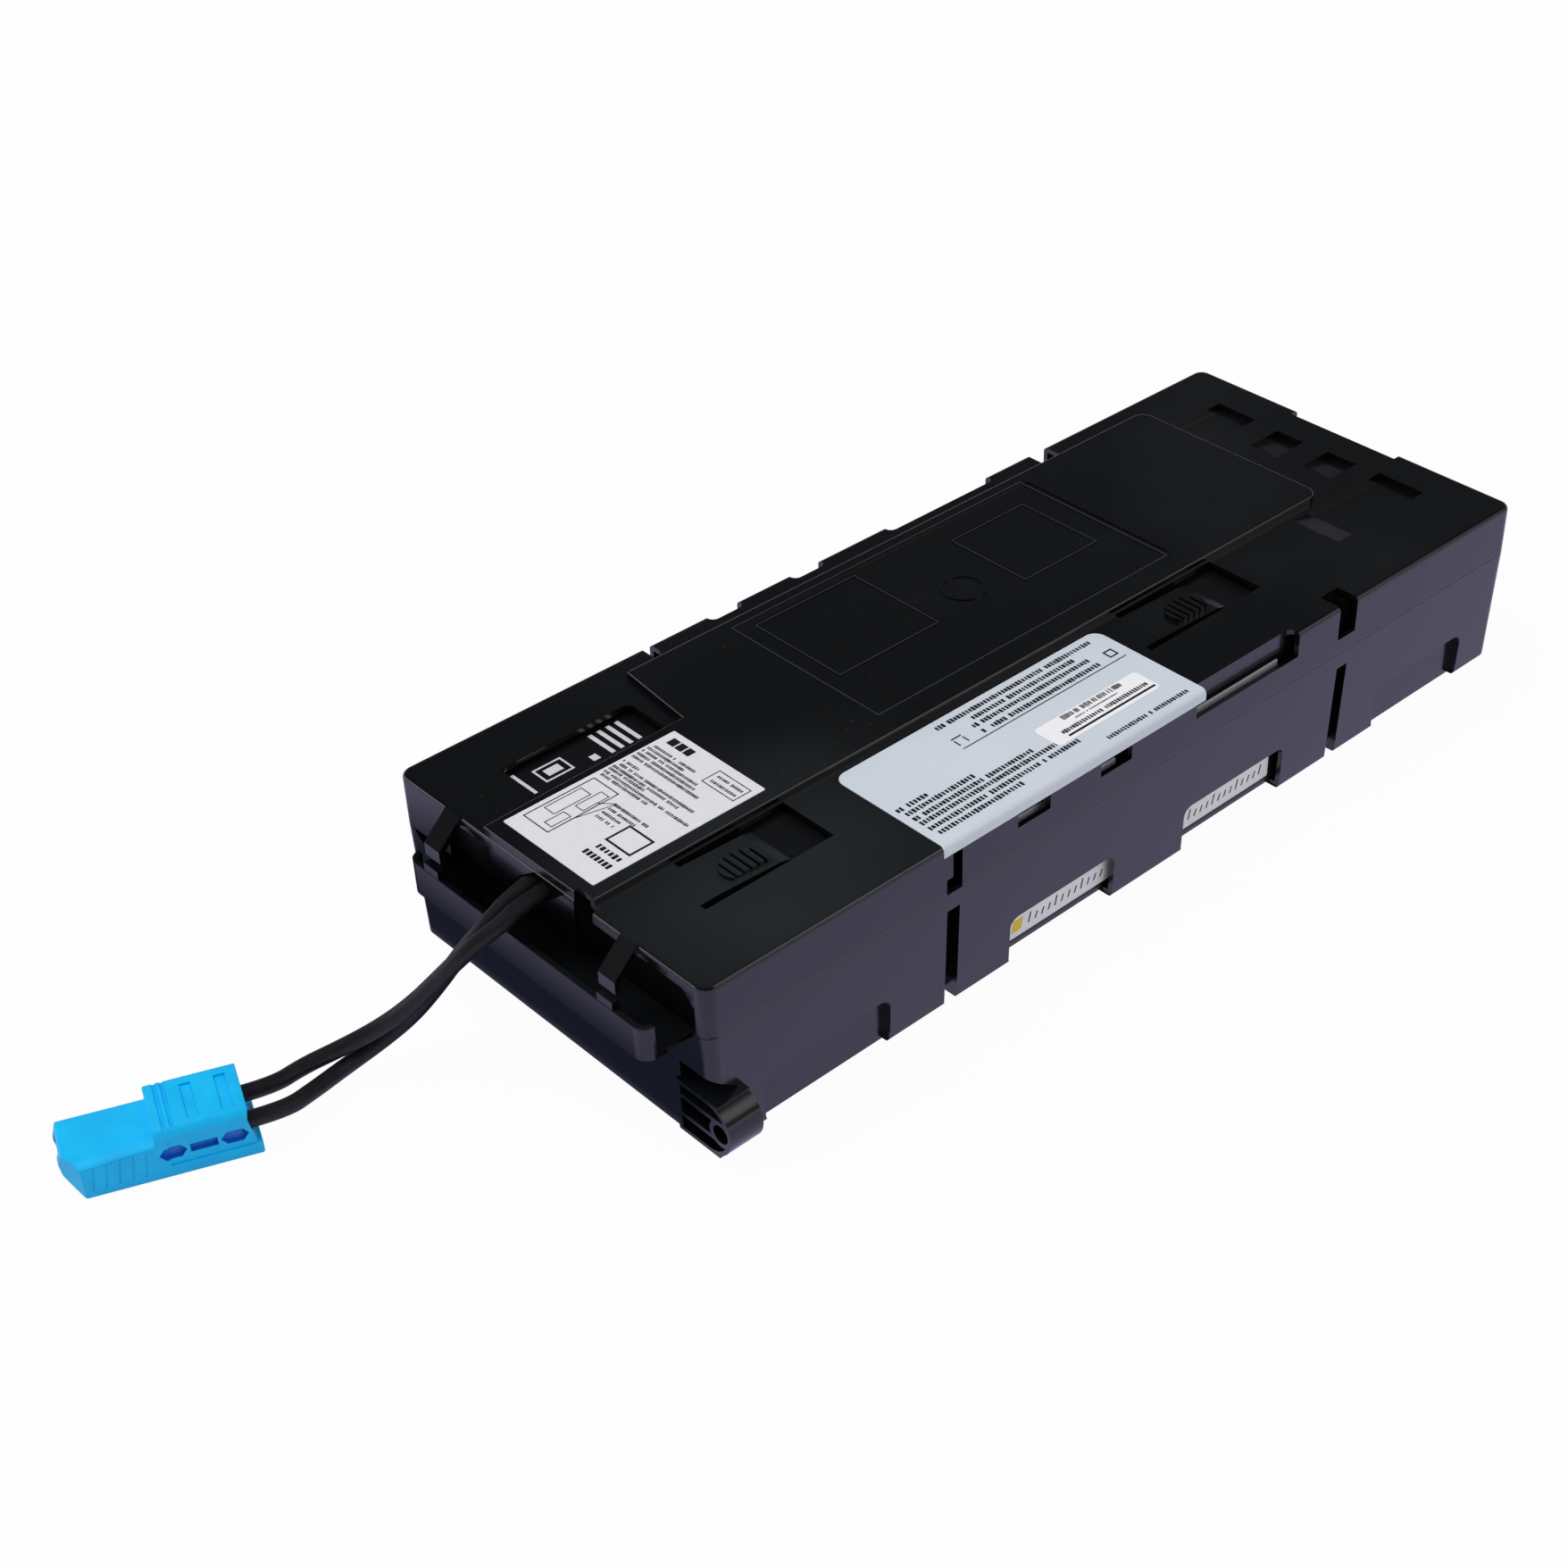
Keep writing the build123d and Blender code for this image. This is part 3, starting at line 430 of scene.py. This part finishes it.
# Grooves across the grip, each with its place along it, its width and its length; slanted
# slots in the nose's side; and the two round entries of the leads.
GRIP_GROOVES = ((28.2, 1.0, 30), (30.8, 1.0, 30), (37.8, 3.4, 17), (48.9, 3.4, 17))
NOSE_SLOTS, SLOT_PITCH = 5, 4.2
ENTRIES, ENTRY_RADIUS, ENTRY_LEVEL, ENTRY_TURNS = (5.8, 18.8), 3.9, 10.6, 20
for reach, wide, across in GRIP_GROOVES:
    low, high = reach - wide / 2, reach + wide / 2
    left = (HOUSING_WIDE - across) / 2
    prism(cutters, [(low, left, 19.0), (high, left, 19.0), (high + 0.3, left, 20.4),
                    (low - 0.3, left, 20.4)], (0, across, 0))
for slot in range(NOSE_SLOTS):
    near = 2.6 + SLOT_PITCH * slot
    prism(cutters, [(near, -1, 3.2), (near + 0.7, -1, 3.2), (near + 2.1, -1, 12.6),
                    (near + 1.4, -1, 12.6)], (0, 1.25, 0))
for entry in ENTRIES:
    turns = [math.tau * turn / ENTRY_TURNS for turn in range(ENTRY_TURNS)]
    prism(cutters, [(52.0, entry + ENTRY_RADIUS * math.cos(turn),
                     ENTRY_LEVEL + ENTRY_RADIUS * math.sin(turn)) for turn in turns], (8, 0, 0))
carve(housing, object_from("groove_cutter", cutters))

# On each side a shallow panel with two six-sided recesses and a flat one between them.
HEX_RECESS = ((-4.5, 0), (-2.6, 2.5), (2.6, 2.5), (4.5, 0), (2.6, -2.5), (-2.6, -2.5))
PANEL_SKIN = 0.0008
RECESS_LEVELS = (0.0074, 0.0125)
RECESS_REACH = (0.0245, 0.054)
for outward, face in ((-1, 0), (1, HOUSING_WIDE)):
    clear = face + outward
    cutters = bmesh.new()
    prism(cutters, [(28, clear, 4.8), (59.4, clear, 4.8), (59.4, clear, 16), (28, clear, 16)],
          (0, -outward * 1.5, 0))
    carve(housing, object_from("panel_cutter", cutters))
    cutters = bmesh.new()
    for along in (29.4, 49.2):
        prism(cutters, [(along + a, clear, 9.9 + z) for a, z in HEX_RECESS],
              (0, -outward * 3.2, 0))
    prism(cutters, [(34.9, clear, 8.2), (43.7, clear, 8.2), (43.7, clear, 11.6),
                    (34.9, clear, 11.6)], (0, -outward * 3.2, 0))
    carve(housing, object_from("recess_cutter", cutters))
shaded_faces = [face.index for face in housing.data.polygons
        if PANEL_SKIN < face.center.y < HOUSING_WIDE / 1000 - PANEL_SKIN
        and RECESS_LEVELS[0] <= face.center.z <= RECESS_LEVELS[1]
        and RECESS_REACH[0] < face.center.x < RECESS_REACH[1]]
HOUSING_PLACE = (-0.0451, -0.3671, 0.0)
HOUSING_TURN = math.radians(67.8)
housing.data.transform(Matrix.Translation(HOUSING_PLACE) @ Matrix.Rotation(HOUSING_TURN, 4, "Z"))
housing.data.shade_smooth()
housing.data.set_sharp_from_angle(angle=math.radians(32))
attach(housing, "root")
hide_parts("connector_housing")

# Glass-filled polycarbonate in bright blue has faint flow marks about 8 mm apart and an etched
# satin grain, drawn 0.6 mm coarse so that it shows. Inside the recesses it is a darker blue,
# painted shade.
# The contacts are copper with a bright silver plate.
FLOWS_PER_METRE = 120.0
ETCH_PER_METRE = 1600.0
POLYCARBONATE_IOR = 1.55
connector_blue, tree, shader = material("blue_polycarbonate", "#00b0ff", 0.42,
                                        IOR=POLYCARBONATE_IOR, Specular_IOR_Level=0.3)
place = mottle(tree, shader, FLOWS_PER_METRE, 5.0, "#00b6f6", "#00c6fd", 0.3, 0.75)[0]
grain = add(tree, "ShaderNodeTexNoise", {"Vector": place, "Scale": ETCH_PER_METRE,
                                         "Detail": 2.0})
etched = add(tree, "ShaderNodeBump", {"Height": grain.outputs["Fac"], "Strength": 0.12,
                                      "Distance": 0.0002})
tree.links.new(etched.outputs["Normal"], shader.inputs["Normal"])
wear(connector_blue, housing)
# Painted shade: a darker copy of the blue, given to the faces inside the recesses.
painted_shade_blue = material("blue_polycarbonate_in_shade", "#0a6fd6", 0.5, IOR=POLYCARBONATE_IOR)[0]
housing.data.materials.append(painted_shade_blue)
for index in shaded_faces:
    housing.data.polygons[index].material_index = 1
silver = material("silver_plated_copper", "#d8d6d2", 0.22, Metallic=1.0)[0]
wear(silver, nodes["contact_positive"], nodes["contact_negative"])


# Labels, stuck flat: coated paper on the tongue, a smooth grey film over the deck's edge, and
# a bright small sticker on it, of the same paper as the blocks' wraps. Paper is nearly matt;
# its fibre is drawn 2 to 3 mm coarse so that it shows.
FIBRES_PER_METRE = 420.0
BRIGHT_FIBRES_PER_METRE = 300.0
CLOUDS_PER_METRE = 30.0
white_paper, tree, shader = material("coated_label_paper", "#dcdade", 0.42)
mottle(tree, shader, FIBRES_PER_METRE, 4.0, "#dfdde3", "#ebe9ed")
wear(white_paper, nodes["tongue_label"])
bright_paper, tree, shader = material("bright_coated_paper", "#fbfafd", 0.5)
mottle(tree, shader, BRIGHT_FIBRES_PER_METRE, 3.0, "#f3f2f6", "#ffffff")
wear(bright_paper, nodes["small_sticker"], nodes["battery_sticker_2"],
     nodes["battery_sticker_3"])
grey_film, tree, shader = material("pale_grey_film", "#c8ced7", 0.34)
mottle(tree, shader, CLOUDS_PER_METRE, 3.0, "#cfd8e3", "#dae0e8")
wear(grey_film, nodes["deck_label"])


# Print on the labels: black thermal-transfer ink, matt and a hair proud of the paper. It is
# rows of short plain strokes, each set along an edge, with bars, rules and boxes. Sizes are in
# mm, with y from the case's front.
PRINT_THICK = 0.06
FRONT = -211.0


def stroke_rows():
    """A node tree that sets short upright strokes along the edges that it is given."""
    tree = bpy.data.node_groups.new("stroke_rows", "GeometryNodeTree")
    sockets = (("Rows", "NodeSocketGeometry"), ("Pitch", "NodeSocketFloat"),
               ("Height", "NodeSocketFloat"), ("Fill", "NodeSocketFloat"),
               ("Seed", "NodeSocketInt"), ("Ink", "NodeSocketMaterial"))
    for name, kind in sockets:
        tree.interface.new_socket(name, in_out="INPUT", socket_type=kind)
    tree.interface.new_socket("Strokes", in_out="OUTPUT", socket_type="NodeSocketGeometry")
    given = add(tree, "NodeGroupInput").outputs
    line = add(tree, "GeometryNodeMeshToCurve", {"Mesh": given["Rows"]})
    spots = add(tree, "GeometryNodeResampleCurve", {"Curve": line.outputs[0],
                                                    "Length": given["Pitch"]}, mode="LENGTH")
    tangent = add(tree, "GeometryNodeInputTangent")
    facing = add(tree, "FunctionNodeAlignRotationToVector", {"Vector": tangent.outputs[0]},
                 axis="X")
    wide = add(tree, "ShaderNodeMath", {0: given["Pitch"], 1: 0.86}, operation="MULTIPLY")
    size = add(tree, "ShaderNodeCombineXYZ", {"X": wide.outputs[0], "Y": given["Height"],
                                              "Z": PRINT_THICK / 1000})
    stroke = add(tree, "GeometryNodeMeshCube", {"Size": size.outputs[0]})
    uneven = add(tree, "FunctionNodeRandomValue", {
        "Min": (0.62, 0.72, 1.0), "Max": (1.0, 1.0, 1.0), "Seed": given["Seed"]},
        data_type="FLOAT_VECTOR")
    inked = add(tree, "FunctionNodeRandomValue", {"Probability": given["Fill"],
                                                  "Seed": given["Seed"]}, data_type="BOOLEAN")
    placed = add(tree, "GeometryNodeInstanceOnPoints", {
        "Points": spots.outputs[0], "Selection": inked.outputs["Value"],
        "Instance": stroke.outputs[0], "Rotation": facing.outputs[0],
        "Scale": uneven.outputs["Value"]})
    real = add(tree, "GeometryNodeRealizeInstances", {"Geometry": placed.outputs[0]})
    coloured = add(tree, "GeometryNodeSetMaterial", {"Geometry": real.outputs[0],
                                                     "Material": given["Ink"]})
    add(tree, "NodeGroupOutput", {"Strokes": coloured.outputs[0]})
    return tree


STROKES = stroke_rows()


def print_rows(name, rows, level, pitch, height, fill, seed, ink):
    """Rows of strokes; a row is its start and end."""
    mesh = bpy.data.meshes.new(name)
    points, edges = [], []
    for x0, y0, x1, y1 in rows:
        edges.append((len(points), len(points) + 1))
        points += [(x0 / 1000, (FRONT + y0) / 1000, level / 1000),
                   (x1 / 1000, (FRONT + y1) / 1000, level / 1000)]
    mesh.from_pydata(points, edges, [])
    piece = bpy.data.objects.new(name, mesh)
    scene.collection.objects.link(piece)
    modifier = piece.modifiers.new("strokes", "NODES")
    modifier.node_group = STROKES
    values = {"Pitch": pitch / 1000, "Height": height / 1000, "Fill": fill, "Seed": seed,
              "Ink": ink}
    for item in STROKES.interface.items_tree:
        if item.in_out == "INPUT" and item.name in values:
            modifier[item.identifier] = values[item.name]
    settle(piece)
    return piece


def flat_print(name, outlines, level, ink):
    """Solid bars, rules and boxes; each is a flat outline."""
    shape = bmesh.new()
    for outline in outlines:
        prism(shape, [(x, FRONT + y, level) for x, y in outline], (0, 0, PRINT_THICK))
    piece = object_from(name, shape)
    wear(ink, piece)
    return piece


def bar(x0, y0, x1, y1):
    """A rectangle's outline."""
    return ((x0, y0), (x1, y0), (x1, y1), (x0, y1))


def frame_bars(x0, y0, x1, y1, line):
    """The four bars of a drawn box."""
    return [bar(x0, y0, x1, y0 + line), bar(x0, y1 - line, x1, y1),
            bar(x0, y0 + line, x0 + line, y1 - line), bar(x1 - line, y0 + line, x1, y1 - line)]


label_ink = material("black_label_ink", "#19181b", 0.55)[0]
TONGUE_TOP, DECK_TOP, STICKER_TOP = 74.2, 71.2, 71.3
TONGUE_ROWS = [(-27.5, y, end, y) for y, end in (
    (70.2, -5.5), (68.0, -9.0), (65.8, 0.5), (63.5, 2.0), (61.2, 6.5), (57.3, -20.0),
    (55.0, 11.5), (52.8, 6.0), (51.0, -9.5), (48.8, 16.0), (46.8, -3.0))]
TONGUE_ROWS += [(-9.5, y, end, y) for y, end in (
    (39.0, 7.0), (36.3, 3.5), (33.6, 0.0), (30.8, -1.0))]
TONGUE_ROWS += [(2.5, 74.2, 14.5, 74.2), (2.5, 71.0, 14.5, 71.0)]
TONGUE_LARGE_ROWS = ((4.0, 21.0, 14.5, 21.0), (3.0, 16.3, 15.0, 16.3))
DECK_ROWS = [(x, start, x, end) for x, start, end in (
    (31.5, 150, 228), (35.5, 164, 215), (39.3, 160.5, 219), (43.7, 159.5, 220), (56.5, 107, 120),
    (60.0, 108, 139), (63.7, 108, 164), (67.0, 108, 173), (71.0, 108, 180), (74.7, 109, 148))]
# Each print's name, rows, level, stroke pitch, stroke height, share of strokes and seed.
ROW_PRINTS = (
    ("tongue_small_print", TONGUE_ROWS, TONGUE_TOP, 0.95, 1.5, 0.93, 3),
    ("tongue_large_print", TONGUE_LARGE_ROWS, TONGUE_TOP, 1.9, 2.7, 1.0, 5),
    ("deck_small_print", DECK_ROWS, DECK_TOP, 1.5, 2.5, 0.94, 7),
    ("deck_edge_print", [(77.3, 189, 77.3, 230)], DECK_TOP, 1.35, 2.2, 0.97, 8),
    ("sticker_strokes", [(57.9, 186, 57.9, 216)], STICKER_TOP, 0.7, 2.8, 0.8, 11),
    ("sticker_fine_print", [(60.9, 190, 60.9, 211)], STICKER_TOP, 0.8, 0.8, 0.8, 12),
    ("sticker_line", [(64.1, 180, 64.1, 223)], STICKER_TOP, 1.3, 2.2, 0.95, 13),
)
printed = [print_rows(*row_print, label_ink) for row_print in ROW_PRINTS]
tongue_marks = [bar(-25.5, 74.3, -21.9, 78.2), bar(-21.2, 74.3, -17.8, 78.2),
                bar(-17.1, 74.3, -13.9, 78.2)]
for box in ((0.0, 68.5, 16.5, 77.0, 0.4), (-27.0, 13.3, -13.5, 43.8, 0.45),
            (-25.5, 21.0, -20.0, 37.0, 0.35), (-19.0, 16.0, -15.0, 24.5, 0.35),
            (-19.0, 29.0, -14.6, 40.5, 0.35), (2.5, 24.5, 15.5, 35.5, 0.9)):
    tongue_marks += frame_bars(*box)
tongue_marks += [((-10, 39.3), (-10, 39.8), (-15, 35.3), (-15, 34.8)),
                 ((-10, 39.3), (-9.6, 39.6), (-13.8, 23.0), (-14.2, 23.0))]
deck_marks = [bar(46.3, 148, 46.75, 232), bar(41.0, 148.6, 44.4, 149.2),
              bar(41.0, 152.8, 44.4, 153.4), bar(39.6, 148.6, 40.2, 153.4)]
deck_marks += frame_bars(39.6, 226.6, 44.0, 231.0, 0.7)
printed += [
    flat_print("tongue_figures", tongue_marks, TONGUE_TOP, label_ink),
    flat_print("deck_rules", deck_marks, DECK_TOP, label_ink),
    flat_print("sticker_rule", [bar(66.4, 180, 67.4, 225)], STICKER_TOP, label_ink),
]
for piece in printed:
    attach(piece, "root")

# White screen print on the block's black top, which shows through the window beside the
# tongue: plain bars and one box in flat white ink.
WINDOW_DEEP = 67.0
window_white = material("white_screen_ink", "#d9d8dc", 0.5)[0]
window_marks = [bar(-56.0, 28.0, -41.8, 30.4), bar(-46.0, 55.6, -42.6, 58.6),
                bar(-50.6, 39.0, -46.6, 45.4)]
window_marks += [bar(-56.0, y, -42.0, y + 1.8) for y in (63.0, 67.0, 71.0, 75.0)]
window_marks += frame_bars(-53.0, 36.0, -44.2, 48.4, 0.8)
block_print = flat_print("block_top_print", window_marks, WINDOW_DEEP, window_white)
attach(block_print, "root")

# Rims of the sunk panels on the plateau, moulded with the cover in black ABS. Fine lines of
# lighter grey are laid along them: painted highlights where their edges catch light.
PLATEAU_TOP = 74.0
rim_highlight_grey = material("painted_rim_highlight", "#35363a", 0.55, IOR=ABS_IOR)[0]
rim_highlight_bars = frame_bars(-65.0, 138.4, 14.0, 291.6, 0.45)
rim_highlight_bars += frame_bars(-60.0, 146.0, -14.0, 196.0, 0.35)
rim_highlight_bars += frame_bars(-52.0, 240.0, -12.0, 280.0, 0.35)
rim_highlights = flat_print("plateau_rim_highlights", rim_highlight_bars, PLATEAU_TOP, rim_highlight_grey)
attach(rim_highlights, "root")

# Print along the wraps of the middle blocks, low in the side windows: slanted scale strokes
# in black ink, every fourth one longer, and one patch of yellow ink.
SIDE_FACE = 75.62
SCALES = ((152.0, 193.0), (238.0, 283.0))
SCALE_PITCH = 3.4
side_marks = bmesh.new()
for first, last in SCALES:
    for number in range(int((last - first) / SCALE_PITCH)):
        y = FRONT + first + SCALE_PITCH * number
        top = 12.4 if number % 4 == 0 else 11.0
        prism(side_marks, [(SIDE_FACE, y, 8.2), (SIDE_FACE, y + 0.7, 8.2),
                           (SIDE_FACE, y + 1.7, top), (SIDE_FACE, y + 1.0, top)],
              (PRINT_THICK, 0, 0))
side_strokes = object_from("wrap_strokes", side_marks)
wear(label_ink, side_strokes)
patch = bmesh.new()
prism(patch, [(SIDE_FACE, FRONT + 143.5, 7.6), (SIDE_FACE, FRONT + 148.5, 7.6),
              (SIDE_FACE, FRONT + 149.5, 12.6), (SIDE_FACE, FRONT + 144.5, 12.6)],
      (PRINT_THICK, 0, 0))
yellow_patch = object_from("wrap_yellow_patch", patch)
yellow_ink = material("yellow_label_ink", "#f0cf3a", 0.5)[0]
wear(yellow_ink, yellow_patch)
for piece in (side_strokes, yellow_patch):
    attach(piece, "root")

# Pan-head screw in the trough: cold-headed steel, blackened in an oxide bath, so it is dark
# with a satin metal sheen.
dark_steel = material("blackened_steel", "#3a3a3c", 0.35, Metallic=1.0)[0]
wear(dark_steel, nodes["screw"])
